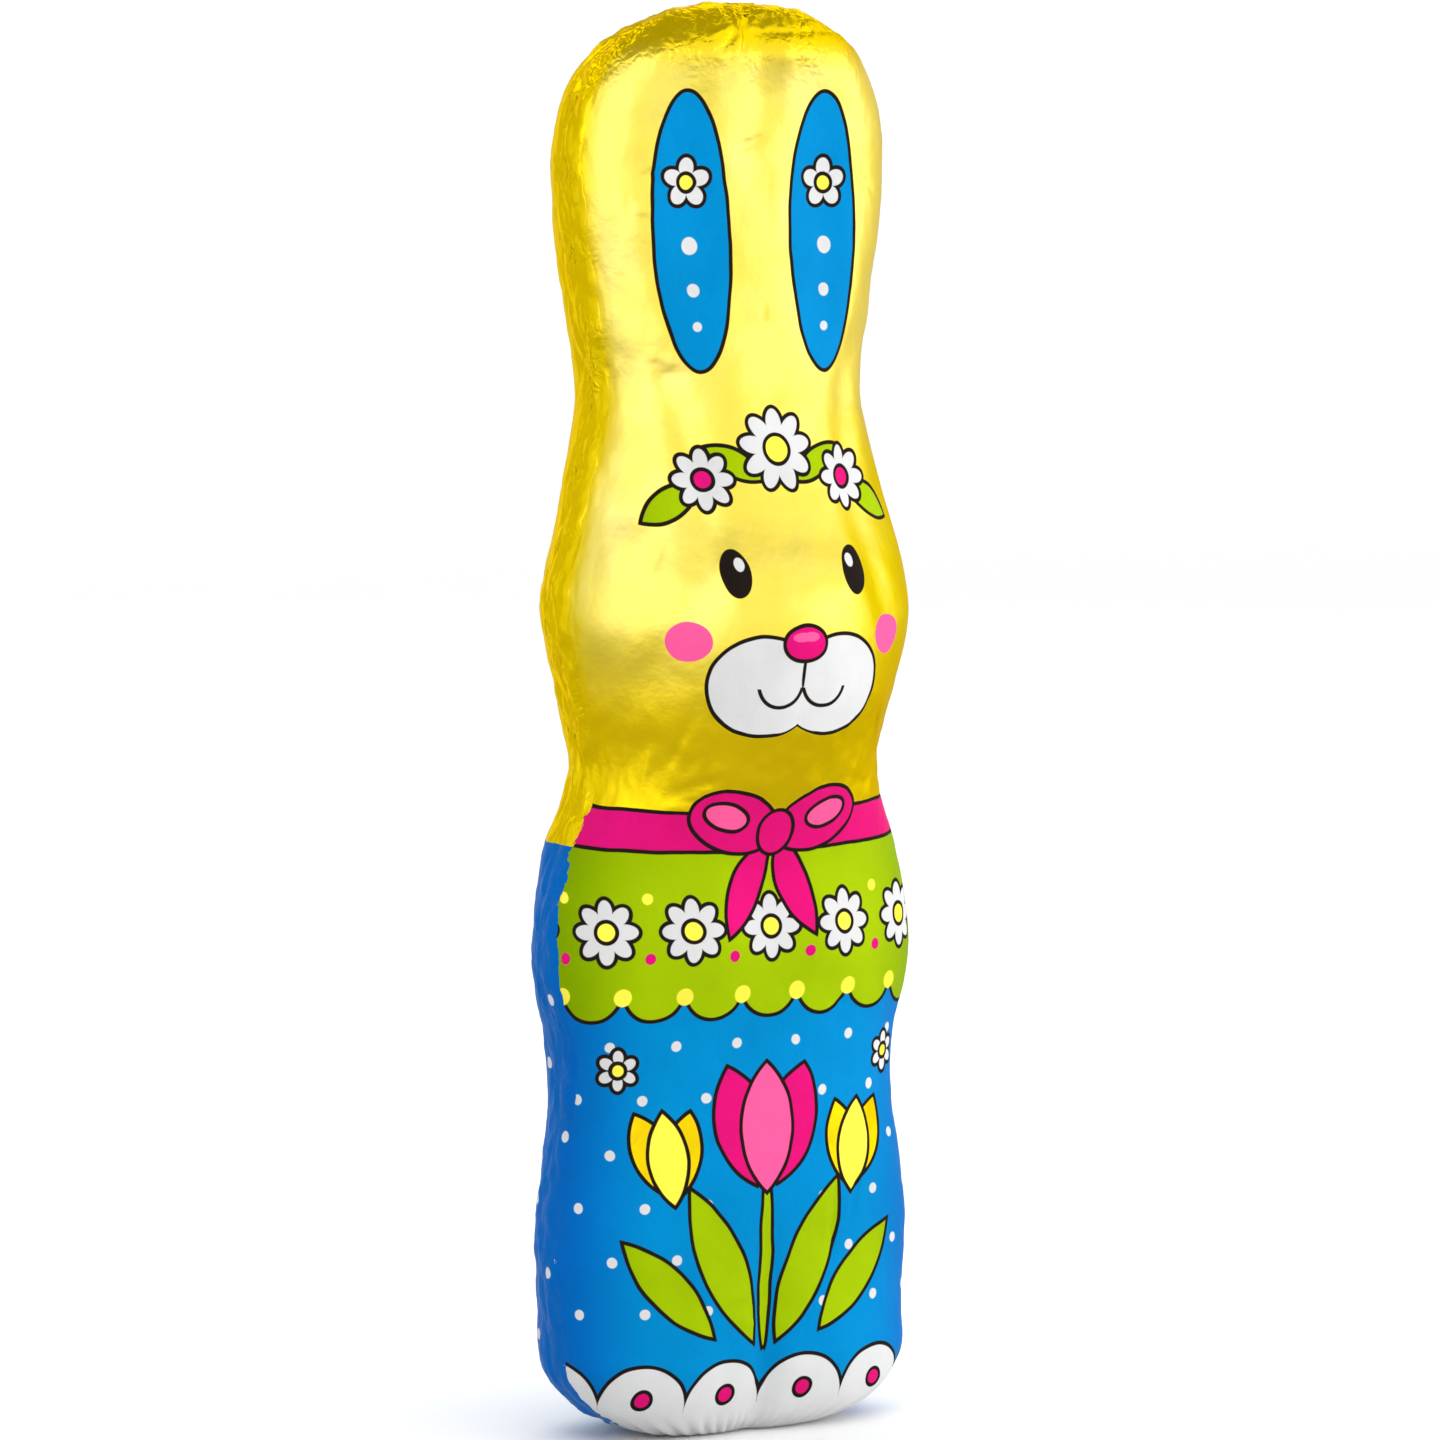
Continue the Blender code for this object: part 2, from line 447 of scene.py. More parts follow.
# printed shapes: each group gives the distance to a shape's edge in millimetres, below zero inside it
def ovalDistance(x, y, halfWidth, halfHeight):
    scaled = length(x / halfWidth, y / halfHeight)
    steep = length(x / squared(halfWidth), y / squared(halfHeight)) + 0.000001  # never quite zero
    return scaled * (scaled - 1.0) / steep


def fromMiddle(given):
    return given["across"] - given["middle across"], given["up"] - given["middle up"]


def turned(given):
    # the place seen from the middle of the shape and turned with it
    x, y = fromMiddle(given)
    cosine = calc("COSINE", given["turn"])
    sine = calc("SINE", given["turn"])
    return x * cosine + y * sine, y * cosine - x * sine


def repeated(value, pitch):
    # starts anew at every pitch, with zero in the middle
    half = pitch * 0.5
    return calc("WRAP", value, half, -half)


def beyond(value, given):
    # how far a value lies outside low and high
    middle = (given["low"] + given["high"]) * 0.5
    return abs(value - middle) - (given["high"] - given["low"]) * 0.5


def drawOval(given):
    return ovalDistance(*turned(given), given["half width"], given["half height"])


def drawLeaf(given):
    # two arcs that meet in a point at both ends
    x, y = turned(given)
    halfWidth = given["half width"]
    radius = (squared(given["half height"]) + squared(halfWidth)) / (halfWidth * 2.0)
    return length(abs(x) + (radius - halfWidth), y) - radius


def drawPetals(given):
    # petals round a middle, repeated across the sheet
    x, y = fromMiddle(given)
    x = repeated(x, given["pitch"])
    angle = repeated(calc("ARCTAN2", x, y), 2.0 * math.pi / given["petals"])
    out = length(x, y)
    x = out * calc("SINE", angle)
    y = out * calc("COSINE", angle) - given["reach"]
    return ovalDistance(x, y, given["half width"], given["half height"])


def drawBand(given):
    # a band right across the sheet, which droops or rises towards its ends
    return beyond(given["up"] - squared(given["across"]) * given["bend"], given)


def drawScallops(given):
    # all that lies under a row of round bulges, or over it where way is below zero
    x = repeated(given["across"] + given["shift"], given["pitch"])
    y = (given["up"] - given["height"]) * given["way"]
    return atMost(y, length(x, y) - given["radius"])


def drawDots(given):
    # dots in rows between two heights, with every second row shifted by half a pitch
    pitch = given["pitch"]
    rise = pitch * 0.8  # the rows stand closer together than the dots in a row
    row = calc("FLOOR", given["up"] / rise)
    height = (row + 0.5) * rise
    x = repeated(given["across"] + calc("MODULO", row, 2.0) * pitch * 0.5, pitch)
    return atLeast(length(x, given["up"] - height) - given["radius"], beyond(height, given))


def drawArc(given):
    # a stroke along part of a circle, cut off at two heights
    stroke = abs(length(*fromMiddle(given)) - given["radius"]) - given["half width"]
    return atLeast(stroke, beyond(given["up"], given))


ovalSizes = ("middle across", "middle up", "half width", "half height", "turn")
petalSizes = ("middle across", "middle up", "petals", "reach", "half width", "half height", "pitch")
shapeSizes = {
    "oval": (drawOval, ovalSizes),
    "leaf": (drawLeaf, ovalSizes),
    "petals": (drawPetals, petalSizes),
    "band": (drawBand, ("low", "high", "bend")),
    "scallops": (drawScallops, ("height", "radius", "pitch", "shift", "way")),
    "dots": (drawDots, ("low", "high", "pitch", "radius")),
    "arc": (drawArc, ("middle across", "middle up", "radius", "half width", "low", "high")),
}


def namedSizes(shape, sizes):
    return dict(zip(shapeSizes[shape][1], sizes))


def makeShapeGroups():
    groups = {}
    for name, (draw, sizes) in shapeSizes.items():
        inputs = {"across": 0.0, "up": 0.0, **dict.fromkeys(sizes, 1.0)}
        outputs = {"distance": "NodeSocketFloat"}
        tree, given, end = newTree("printed " + name, "ShaderNodeTree", inputs, outputs)
        feed(end.inputs["distance"], draw(given))
        groups[name] = tree
    return groups


# inks: colour, and how much of the foil's metal shows through
inks = {
    "yellow": ((0.860, 0.675, 0.010, 1), 0.96),
    # painted shade: a darker gold copy of the yellow, the ground of the back sheet and of the bare front foil
    # away from the glow
    "shadedGold": ((0.830, 0.595, 0.004, 1), 0.96),
    "blue": ((0.000, 0.208, 0.480, 1), 0.07),
    "green": ((0.300, 0.440, 0.002, 1), 0.12),
    "magenta": ((0.620, 0.006, 0.150, 1), 0.16),
    "pink": ((0.790, 0.090, 0.270, 1), 0.10),
    "white": ((0.580, 0.580, 0.580, 1), 0.00),
    "lemon": ((0.860, 0.760, 0.060, 1), 0.30),
    "key": ((0.012, 0.008, 0.007, 1), 0.00),
}
# inks that are sprayed darker towards the sides of a sheet, both as airbrushed print and as painted shade on
# the flanks that turn from the light
sprayShadeInks = {"blue": (0.000, 0.108, 0.410, 1), "green": (0.180, 0.300, 0.000, 1)}
sprayShadeReach = (11.5, 24.0)  # where the sprayed painted shade starts and ends, in millimetres from the middle
keyLine = 0.42  # width of the dark outlines, in millimetres
noLine = -1.0  # a width that draws nothing

# the front print, mirrored left and right, in millimetres: shape, ink, sizes, and width of the outline
frontPrint = [
    # blue below with white dots, and a green band over the chest with bulges along its lower edge
    ("band", "blue", (-60.0, 50.0, 0.0), noLine),
    ("dots", "white", (12.0, 44.0, 7.0, 0.55), noLine),
    ("band", "green", (47.5, 64.0, 0.0), noLine),
    ("scallops", "green", (48.0, 3.3, 6.6, 0.0, -1.0), keyLine),
    ("band", "green", (47.9, 64.0, 0.0), noLine),
    ("band", "yellow", (64.0, 200.0, 0.0), noLine),
    ("petals", "lemon", (3.3, 47.3, 1.0, 0.0, 0.95, 0.95, 6.6), noLine),
    # daisies in a row along the band
    ("petals", "white", (0.0, 54.2, 8.0, 2.1, 1.0, 1.45, 9.2), keyLine),
    ("petals", "lemon", (0.0, 54.2, 1.0, 0.0, 1.15, 1.15, 9.2), keyLine),
    ("petals", "lemon", (4.6, 57.6, 1.0, 0.0, 0.6, 0.6, 9.2), noLine),
    ("petals", "magenta", (4.6, 51.4, 1.0, 0.0, 0.6, 0.6, 9.2), noLine),
    # ribbon and bow
    ("band", "magenta", (62.2, 66.4, 0.0015), keyLine),
    ("leaf", "magenta", (2.9, 58.4, 1.9, 5.8, 0.42), keyLine),
    ("oval", "magenta", (5.0, 65.4, 5.2, 3.2, 0.30), keyLine),
    ("oval", "pink", (6.0, 66.0, 2.6, 1.4, 0.30), keyLine),
    ("oval", "magenta", (0.0, 64.2, 2.1, 2.4, 0.0), keyLine),
    # flowers on the belly: leaves, stems, then a tall tulip with a smaller one on each side
    ("leaf", "green", (5.2, 18.6, 2.6, 9.4, -0.42), keyLine),
    ("leaf", "green", (11.4, 16.4, 2.2, 7.4, -0.75), keyLine),
    ("oval", "green", (0.0, 19.0, 0.75, 9.5, 0.0), keyLine),
    ("leaf", "magenta", (2.9, 33.2, 3.2, 6.6, -0.26), keyLine),
    ("leaf", "pink", (0.0, 33.0, 3.2, 7.0, 0.0), keyLine),
    ("leaf", "yellow", (12.9, 30.6, 2.2, 4.9, -0.42), keyLine),
    ("leaf", "yellow", (9.9, 30.4, 2.2, 4.9, 0.22), keyLine),
    ("leaf", "lemon", (11.3, 30.2, 2.2, 5.1, -0.12), keyLine),
    ("petals", "white", (16.6, 39.6, 6.0, 1.35, 0.75, 0.95, 900.0), keyLine),
    ("oval", "lemon", (16.6, 39.6, 0.8, 0.8, 0.0), keyLine),
    # scalloped hem
    ("scallops", "white", (3.6, 5.0, 9.6, 4.8, 1.0), keyLine),
    ("petals", "magenta", (4.8, 4.9, 1.0, 0.0, 1.0, 1.0, 9.6), keyLine),
    # face
    ("oval", "pink", (12.6, 84.6, 2.5, 2.1, 0.0), noLine),
    ("oval", "white", (4.3, 79.8, 6.3, 5.2, 0.16), keyLine),
    ("oval", "white", (2.6, 79.2, 4.2, 4.3, 0.0), noLine),
    ("arc", "key", (2.6, 80.2, 2.6, 0.20, 76.0, 79.6), noLine),
    ("oval", "key", (0.0, 81.2, 0.22, 1.8, 0.0), noLine),
    ("oval", "magenta", (0.0, 84.2, 2.6, 1.9, 0.0), keyLine),
    ("oval", "pink", (0.5, 84.9, 1.1, 0.5, 0.0), noLine),
    ("oval", "key", (7.1, 91.5, 1.65, 2.5, 0.0), noLine),
    ("oval", "white", (6.6, 92.5, 0.55, 0.7, 0.0), noLine),
    # garland over the brow
    ("leaf", "green", (4.9, 102.6, 1.4, 3.6, -1.05), keyLine),
    ("leaf", "green", (12.4, 98.6, 1.5, 4.0, -2.1), keyLine),
    ("petals", "white", (8.6, 101.0, 8.0, 2.0, 0.95, 1.4, 900.0), keyLine),
    ("oval", "magenta", (8.6, 101.0, 1.1, 1.1, 0.0), keyLine),
    ("petals", "white", (0.0, 104.0, 9.0, 2.6, 1.1, 1.8, 900.0), keyLine),
    ("oval", "lemon", (0.0, 104.0, 1.5, 1.5, 0.0), keyLine),
    # ears, each with a flower and falling dots
    ("oval", "blue", (7.9, 126.5, 4.3, 14.5, -0.03), keyLine),
    ("petals", "white", (8.3, 131.5, 5.0, 1.55, 1.05, 1.25, 900.0), keyLine),
    ("oval", "lemon", (8.3, 131.5, 0.95, 0.95, 0.0), keyLine),
    ("oval", "white", (8.1, 125.0, 0.9, 0.9, 0.0), noLine),
    ("oval", "white", (7.9, 120.4, 0.7, 0.7, 0.0), noLine),
    ("oval", "white", (7.7, 116.6, 0.5, 0.5, 0.0), noLine),
]

# the back print, which also shows where the back sheet laps round onto the front
backPrint = [
    ("band", "blue", (-60.0, 62.8, 0.0), noLine),
    ("dots", "white", (6.0, 58.0, 9.0, 0.6), noLine),
    ("petals", "white", (0.0, 18.0, 8.0, 3.4, 1.9, 2.2, 900.0), keyLine),
    ("oval", "white", (0.0, 18.0, 4.4, 4.4, 0.0), noLine),
]


printOutputs = {"colour": "NodeSocketColor", "metal": "NodeSocketFloat"}


def makeInkGroup():
    # one layer of ink over what is printed so far, with a dark outline
    inputs = {
        "colour": (1.0, 1.0, 1.0, 1.0),
        "metal": 0.0,
        "distance": 0.0,
        "ink": (1.0, 1.0, 1.0, 1.0),
        "ink metal": 0.0,
        "line": keyLine,
        "softness": 0.07,  # of the edges, in millimetres
    }
    tree, given, end = newTree("layer of ink", "ShaderNodeTree", inputs, printOutputs)
    toLine = abs(given["distance"]) - given["line"] * 0.5
    fill = calc("SUBTRACT", 0.5, given["distance"] / given["softness"], clamp=True)
    line = calc("SUBTRACT", 0.5, toLine / given["softness"], clamp=True)
    keyColour, keyMetal = inks["key"]
    colour = blendColours(fill, given["colour"], given["ink"])
    metal = blendValues(fill, given["metal"], given["ink metal"])
    feed(end.inputs["colour"], blendColours(line, colour, keyColour))
    feed(end.inputs["metal"], blendValues(line, metal, keyMetal))
    return tree


def makePrintGroup(name, ground, layers, shapeGroups, inkGroup):
    tree, given, end = newTree(name, "ShaderNodeTree", {"across": 0.0, "up": 0.0}, printOutputs)
    side = abs(given["across"])
    # airbrush and painted shade: the blue and green darken towards both sides of the sheet
    sprayShade = ramp(side, *sprayShadeReach)
    sprayShaded = {ink: blendColours(sprayShade, inks[ink][0], sprayShadeColour) for ink, sprayShadeColour in sprayShadeInks.items()}
    colour, metal = inks[ground]
    for shape, ink, sizes, line in layers:
        values = {"across": side, "up": given["up"], **namedSizes(shape, sizes)}
        inkColour, inkMetal = inks[ink]
        layer = {
            "colour": colour,
            "metal": metal,
            "distance": useGroup(tree, shapeGroups[shape], values)["distance"],
            "ink": sprayShaded.get(ink, inkColour),
            "ink metal": inkMetal,
            "line": line,
        }
        result = useGroup(tree, inkGroup, layer)
        colour, metal = result["colour"], result["metal"]
    feedAll(end, {"colour": colour, "metal": metal})
    return tree


# how the foil catches the light
foilFinish = {
    "roughness": 0.37,
    "seamRoughness": 0.24,
    "roughnessVariation": 0.10,
    "inkRoughness": 0.15,  # what an ink adds that hides the metal
    "specular": 0.05,
    "bend": 1.3,  # how far the film of ink bends the light
    "coatOnMetal": 0.48,
    "coatBend": 2.3,
    "coatRoughness": 0.26,
    "mottle": 0.16,  # how far the shade of the bare foil varies, and that of the inks
    "inkMottle": 0.38,
    # painted highlight: a pale yellow blended into the bare front foil in patches
    "paintedHighlightInk": (0.840, 0.780, 0.240, 1),
    "paintedHighlightAmount": 0.16,
    "grazingTint": (0.92, 0.74, 0.16, 1),
    "turnedAway": (0.22, 0.50),  # between these the surface counts as turned away from the eye
    "wobble": 0.16,  # how far the print strays from its drawing, in millimetres
    "wobbleScale": 260.0,
    "creaseBump": 0.00011,
    "dentBump": 0.00020,
}
# its fine grain: scales to the metre, heights in metres, and distances from the seam in millimetres
foilGrain = {
    "creaseScale": 1000.0,
    "creaseWarp": (700.0, 0.0012),  # scale of what pushes the creases about, and how far it does
    "creaseSteepness": 2.5,
    "spotScale": 230.0,
    "spotRange": (0.42, 0.62),
    "leastCreases": 0.05,
    "seamCreases": 0.7,
    "seamReach": 3.0,
    "topReach": 0.010,
    "dentScale": 170.0,
    "shadeScale": 60.0,
    # the patches of painted highlight: their size and how much of the foil they cover
    "highlightSpotScale": 120.0,
    "highlightSpotRange": (0.42, 0.66),
    "offSeam": (2.2, 4.8),
    "underTips": (0.1465, 0.1420),
    "overNeck": (0.075, 0.090),
    "underEars": (0.112, 0.100),
    "calmBehind": 0.4,  # how calm the back is, where the front is 1
}


def makeFoilGrain():
    # fine creases and dents of the pressed foil, strongest near the seams and the tips of the ears
    names = ("creases", "dents", "shade", "patches", "calm", "glow", "head")
    outputs = dict.fromkeys(names, "NodeSocketFloat")
    tree, given, end = newTree("foil grain", "ShaderNodeTree", {"seam gap": 10.0}, outputs)
    grain = foilGrain
    gap = given["seam gap"]
    place = outputOf(tree, "ShaderNodeTexCoord", "Object")
    x, y, z = split(place)
    cells = cellEdges(warped(place, *grain["creaseWarp"]), grain["creaseScale"])
    spots = ramp(noise(place, grain["spotScale"], 1.0), *grain["spotRange"], smooth=False)
    nearTop = atLeast((z - (bunnyForm["height"] - grain["topReach"])) / grain["topReach"], 0.0)
    amount = atMost(bell(gap / grain["seamReach"]) * grain["seamCreases"] + nearTop, 1.0)
    amount = amount * spots + grain["leastCreases"]
    # the foil is calm away from the seams and the tips, and the front of it glows over the neck
    calm = ramp(gap, *grain["offSeam"]) * ramp(z, *grain["underTips"])
    isFront = calc("LESS_THAN", y, 0.0)
    glow = calm * ramp(z, *grain["overNeck"]) * isFront
    highlightSpots = ramp(noise(place, grain["highlightSpotScale"], 3.0, 0.6), *grain["highlightSpotRange"], smooth=False)
    results = {
        "creases": atMost(cells * grain["creaseSteepness"], 1.0) * amount,
        "dents": noise(place, grain["dentScale"], 4.0, 0.6),
        "shade": noise(place, grain["shadeScale"], 4.0, 0.6),
        "patches": highlightSpots * glow,  # painted highlight: paler patches at random on the glowing front foil
        "calm": calm * calc("MULTIPLY_ADD", isFront, 1.0 - grain["calmBehind"], grain["calmBehind"]),
        "glow": glow,
        "head": ramp(z, *grain["underEars"]),
    }
    feedAll(end, results)
    return tree


def layerReach(shape, sizes):
    # the middle and half the height of what a layer of print can show, in millimetres
    size = namedSizes(shape, sizes)
    if shape in ("oval", "leaf"):
        return size["middle up"], max(size["half width"], size["half height"])
    if shape == "petals":
        return size["middle up"], size["reach"] + max(size["half width"], size["half height"])
    if shape == "scallops":
        return size["height"] - size["way"] * 100.0, 100.0 + size["radius"]
    return (size["low"] + size["high"]) / 2, (size["high"] - size["low"]) / 2 + 1.0


def layersBetween(layers, low, high, margin=0.8):
    # the layers that show between two heights, with a margin for outlines and the wobble
    shown = []
    for layer in layers:
        middle, reach = layerReach(layer[0], layer[2])
        if middle + reach + margin > low and middle - reach - margin < high:
            shown.append(layer)
    return shown


def makeFoilMaterial(name, printGroup, grainGroup, placeName):
    material = bpy.data.materials.new(name)
    material.use_nodes = True
    tree = material.node_tree
    finish = foilFinish
    place = outputOf(tree, "ShaderNodeTexCoord", "Object")
    wobble = noise(place, finish["wobbleScale"], 1.0, output="Color")
    sway = addNode(tree, "ShaderNodeSeparateColor", {0: wobble})
    swayAcross, swayUp = ((wire(tree, sway.outputs[k]) - 0.5) * (finish["wobble"] * 2) for k in (0, 1))
    across, up, gap = split(outputOf(tree, "ShaderNodeAttribute", "Vector", attribute_name=placeName))
    printed = useGroup(tree, printGroup, {"across": across + swayAcross, "up": up + swayUp})
    colour, metal = printed["colour"], printed["metal"]
    grain = useGroup(tree, grainGroup, {"seam gap": gap})
    bare = calc("MULTIPLY_ADD", metal, 2.0, -0.9, clamp=True)  # 1 on the yellow foil, 0 under other inks
    mottle = calc("MULTIPLY_ADD", bare, finish["mottle"] - finish["inkMottle"], finish["inkMottle"])
    shade = (grain["shade"] - 0.5) * mottle + 1.0
    # painted shade: the bare foil is painted a deeper gold away from the glow, and painted highlight makes it
    # paler in the patches
    colour = blendColours(bare * (1.0 - grain["glow"]), colour, inks["shadedGold"][0])
    colour = blendColours(grain["patches"] * bare * finish["paintedHighlightAmount"], colour, finish["paintedHighlightInk"])
    colour = blendColours(1.0, colour, shade, "MULTIPLY")
    variation = finish["roughnessVariation"]
    roughness = grain["shade"] * variation + (finish["seamRoughness"] - variation / 2)
    roughness = roughness + grain["calm"] * (finish["roughness"] - finish["seamRoughness"])
    roughness = roughness + (1.0 - metal) * finish["inkRoughness"]
    # the sides of the head, which turn away, keep the deep colour of the metal
    facing = outputOf(tree, "ShaderNodeLayerWeight", "Facing", {"Blend": 0.5})
    side = ramp(facing, *finish["turnedAway"], smooth=False) * grain["head"]
    relief = {"Height": grain["dents"], "Distance": finish["dentBump"]}
    dented = outputOf(tree, "ShaderNodeBump", 0, relief)
    relief = {"Height": grain["creases"], "Distance": finish["creaseBump"], "Normal": dented}
    looks = {
        "Base Color": colour,
        "Metallic": metal,
        "Roughness": roughness,
        "Coat Weight": bare * grain["glow"] * finish["coatOnMetal"] * (1.0 - side),
        "Specular IOR Level": finish["specular"],
        "IOR": finish["bend"],
        "Specular Tint": finish["grazingTint"],
        "Coat IOR": finish["coatBend"],
        "Coat Roughness": finish["coatRoughness"],
        "Normal": outputOf(tree, "ShaderNodeBump", 0, relief),
    }
    feedAll(tree.nodes["Principled BSDF"], looks)
    return material


shapeGroups = makeShapeGroups()
inkGroup = makeInkGroup()
grainGroup = makeFoilGrain()
foilMaterials = []  # the parts of the front sheet from the feet up, then the back sheet
belowAll = -10.0
aboveAll = 160.0
for low, high in zip([belowAll] + partEdges, partEdges + [aboveAll]):
    name = "frontFoil" + str(len(foilMaterials) + 1)
    layers = layersBetween(frontPrint, low, high)
    print(name, "draws", len(layers), "layers")
    group = makePrintGroup(name + "Print", "yellow", layers, shapeGroups, inkGroup)
    foilMaterials.append(makeFoilMaterial(name, group, grainGroup, "frontPlace"))
# the back sheet takes the painted shade gold as its ground
group = makePrintGroup("backFoilPrint", "shadedGold", backPrint, shapeGroups, inkGroup)
foilMaterials.append(makeFoilMaterial("backFoil", group, grainGroup, "backPlace"))
print("materials ready")


def geometryNode(kind, geometry, inputs=None, **settings):
    # passes the geometry so far through one more node
    node = addNode(geometry.tree, kind, inputs, **settings)
    feed(node.inputs[0], geometry)
    return wire(geometry.tree, node.outputs[0])


def storeOn(geometry, name, value, dataType="FLOAT"):
    inputs = {"Name": name, "Value": value}
    return geometryNode("GeometryNodeStoreNamedAttribute", geometry, inputs, data_type=dataType)


def readNamed(tree, name, dataType="FLOAT"):
    return outputOf(tree, "GeometryNodeInputNamedAttribute", 0, {"Name": name}, data_type=dataType)


def nearestOn(body, value):
    # what a value is on the nearest spot of another surface
    inputs = {"Mesh": body, "Value": value}
    kind = "GeometryNodeSampleNearestSurface"
    return outputOf(body.tree, kind, "Value", inputs, data_type="FLOAT_VECTOR")


# creases pressed into the wrap as real relief, in metres, apart from the seam width, in millimetres
wrapCreases = {
    "crease depth": 0.00014,
    "crease share": 0.32,  # of the crease depth, all over
    "crease size": 0.0030,
    "dent depth": 0.00034,
    "dent size": 0.0080,
    "seam width": 3.2,
    "seam depth": 0.00034,
    "back depth": 0.00010,
    "back reach": 0.0040,
    "top reach": 0.0075,
    "top steepness": 1.3,
    "neck height": 0.070,
    "neck reach": 0.007,
    "neck depth": 0.00014,
    "pleats": 46.0,
    "pleat depth": 0.00030,
    "pleat reach": 0.0038,
    "pleat wander": 6.0,
    "pleat wander scale": 180.0,
    "floor reach": 0.0008,  # the relief fades out this close to the floor
    "seed": 5.0,
}
# its facets: the share that each of their sizes has, how they are pushed about and stretched, and their level
wrapFacets = {"shares": (1.0, 0.45), "warp": (260.0, 0.0025), "stretch": (1.0, 1.0, 0.55), "level": 0.2}
# folds on the front, in millimetres: across, up, half length, half width, turn, rise
wrapFolds = [
    (-2.3, 147.4, 1.5, 0.30, 1.50, 0.24),  # the pinch between the ears, and the folds that spread from it
    (-4.2, 147.2, 1.5, 0.28, 0.35, 0.20),
    (-3.9, 145.9, 1.4, 0.30, 0.75, -0.22),
    (-2.0, 145.3, 1.2, 0.35, 1.35, -0.26),
    (-0.9, 146.9, 1.0, 0.25, -0.60, 0.16),
    (4.6, 147.1, 6.6, 0.34, 0.06, -0.15),
    (-6.8, 130.9, 1.4, 0.28, 0.05, -0.26),  # wrinkles beside the ears and the face
    (-12.2, 132.4, 1.2, 0.28, 0.40, -0.26),
    (-13.0, 128.6, 1.1, 0.28, -0.10, 0.24),
    (-1.0, 135.5, 1.6, 0.28, 0.35, -0.26),
    (14.0, 131.5, 1.4, 0.28, -0.45, -0.26),
    (-9.9, 111.8, 2.6, 0.32, 0.12, -0.20),
    (-11.5, 113.4, 1.6, 0.30, -0.25, 0.14),
    (13.5, 108.0, 2.4, 0.32, -0.15, -0.16),
    (-14.5, 94.0, 2.2, 0.34, 1.10, -0.14),
    (-12.5, 73.5, 2.6, 0.34, 1.30, -0.16),
    (-15.5, 71.0, 2.2, 0.36, 1.55, 0.20),
    (-9.5, 69.5, 2.4, 0.40, 0.25, -0.22),
    (-11.0, 67.0, 2.0, 0.40, -0.15, 0.20),
    (14.0, 74.0, 2.4, 0.34, -1.20, -0.16),
    (11.0, 69.0, 2.2, 0.40, -0.30, -0.20),
    (-3.4, 14.3, 1.6, 0.30, 0.10, -0.20),  # wrinkles in the blue
    (-2.6, 12.4, 1.3, 0.28, -0.20, 0.18),
    (8.4, 22.0, 3.6, 0.36, 1.50, -0.24),
    (11.2, 24.6, 3.0, 0.34, 1.35, -0.20),
    (-13.0, 30.0, 3.4, 0.36, 1.60, -0.20),
    (-9.0, 44.5, 2.2, 0.34, 0.30, -0.18),
    (9.5, 45.5, 2.0, 0.34, -0.35, -0.18),
]
# and on the back
backFolds = [
    (6.5, 131.0, 6.0, 0.40, 1.35, -0.34),
    (-8.0, 124.0, 4.6, 0.36, 1.75, 0.26),
    (0.5, 118.0, 3.8, 0.36, 0.30, -0.32),
    (4.5, 106.0, 3.0, 0.34, -0.40, -0.32),
    (-6.0, 103.5, 4.0, 0.36, 0.20, 0.26),
    (-9.5, 92.0, 3.6, 0.36, 1.20, -0.32),
    (3.0, 84.0, 5.6, 0.40, 1.60, -0.34),
    (9.0, 76.0, 3.0, 0.36, 2.00, 0.28),
    (-3.5, 71.0, 4.4, 0.36, 0.10, -0.32),
    (-11.0, 55.0, 4.0, 0.38, 1.40, -0.32),
    (6.0, 47.0, 3.2, 0.36, 0.35, -0.34),
    (-3.0, 39.5, 4.2, 0.38, -0.15, -0.32),
    (11.5, 33.0, 5.0, 0.40, 1.70, -0.34),
    (-9.0, 26.0, 3.4, 0.36, 1.10, 0.28),
    (4.0, 9.0, 3.0, 0.36, 0.25, -0.28),
]


geometrySocket = {"Geometry": "NodeSocketGeometry"}


